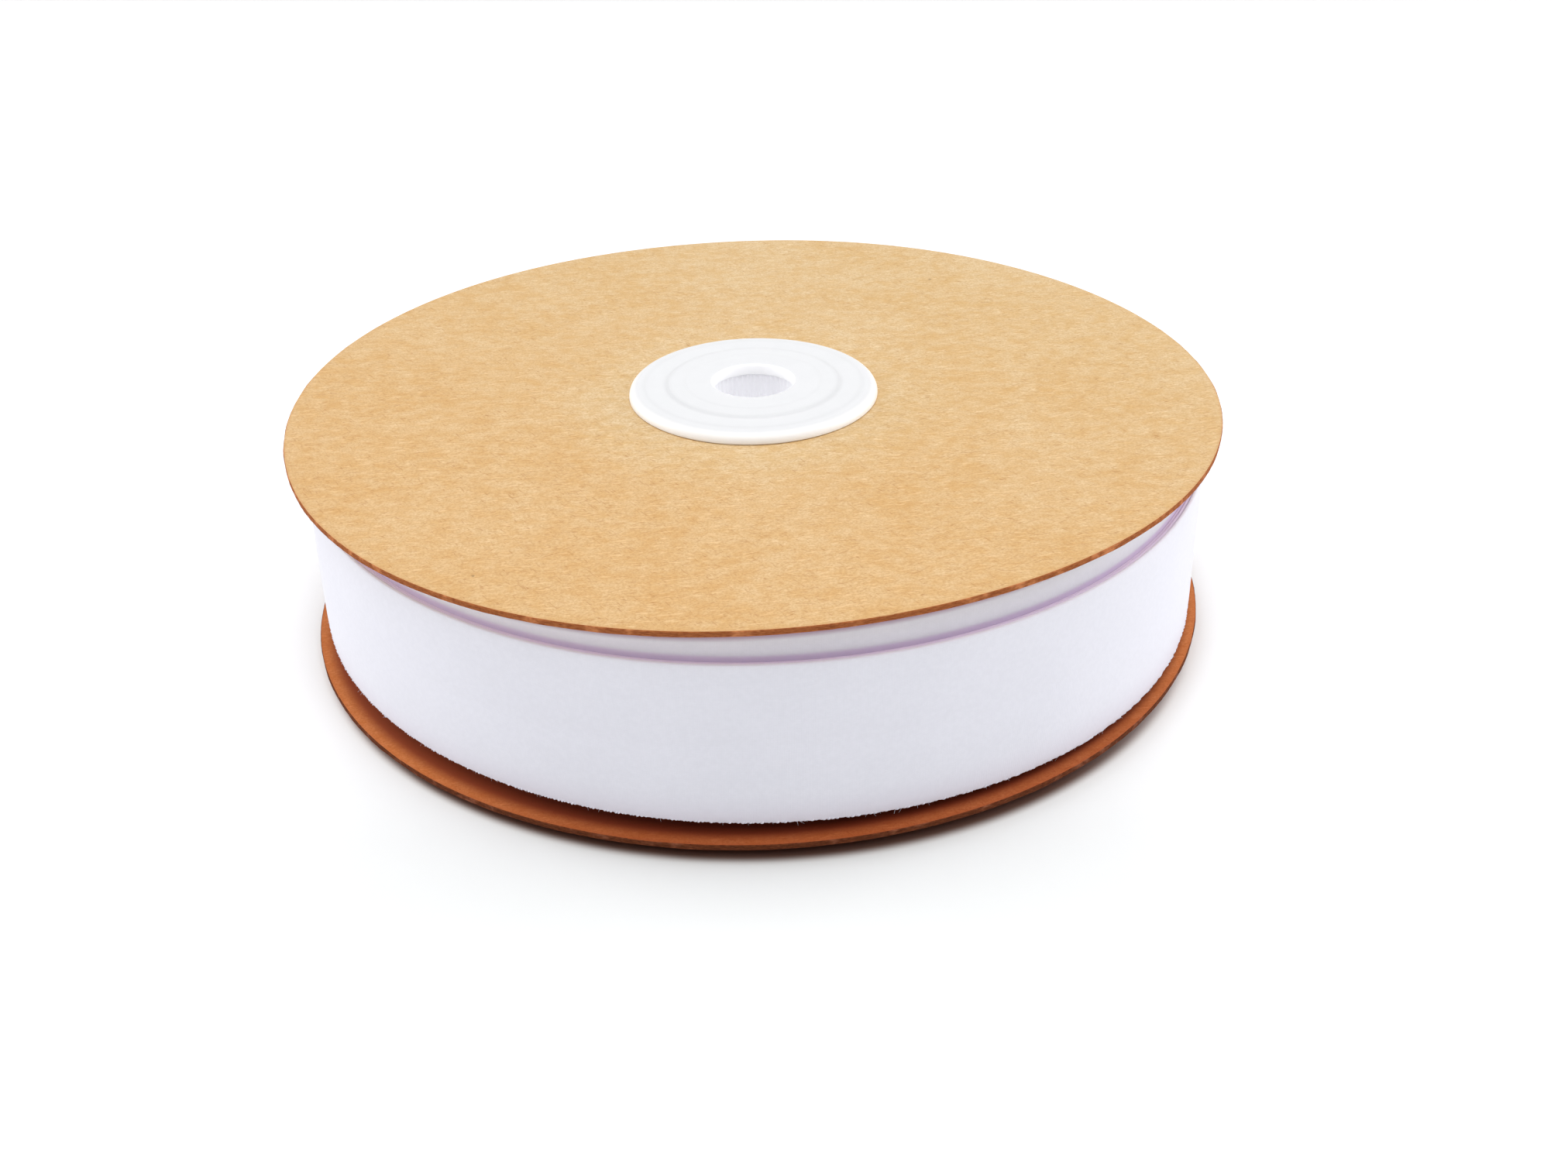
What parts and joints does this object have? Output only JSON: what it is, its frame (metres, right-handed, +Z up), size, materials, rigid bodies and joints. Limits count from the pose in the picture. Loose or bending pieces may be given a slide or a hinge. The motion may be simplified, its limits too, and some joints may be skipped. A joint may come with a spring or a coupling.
{
  "type": "roll of bias tape on a spool",
  "caption": "White bias tape wound on a white plastic hub between two round kraft cards, with an open bore through the middle.",
  "frame": {"origin": "centre of the box's base, on the surface that the spool stands on and on the axis of its bore", "axes": "+Z up along the bore's axis, from the lower card to the top card; -Y faces the camera of the picture"},
  "size_m": [0.14, 0.14, 0.0358],
  "materials": {
    "kraft_card": "uncoated kraft board with fine fibre flecks",
    "kraft_card_lower": "uncoated kraft board with fine fibre flecks",
    "hub_plastic": "satin white moulded plastic",
    "cap_plastic": "satin white moulded plastic",
    "bias_tape": "white woven cloth cut on the bias, folded and wound"
  },
  "bodies": {
    "root": {"top_card": "kraft_card", "lower_card": "kraft_card_lower", "hub": "hub_plastic", "hub_cap": "cap_plastic", "tape_winding": "bias_tape"}
  },
  "joints": []
}
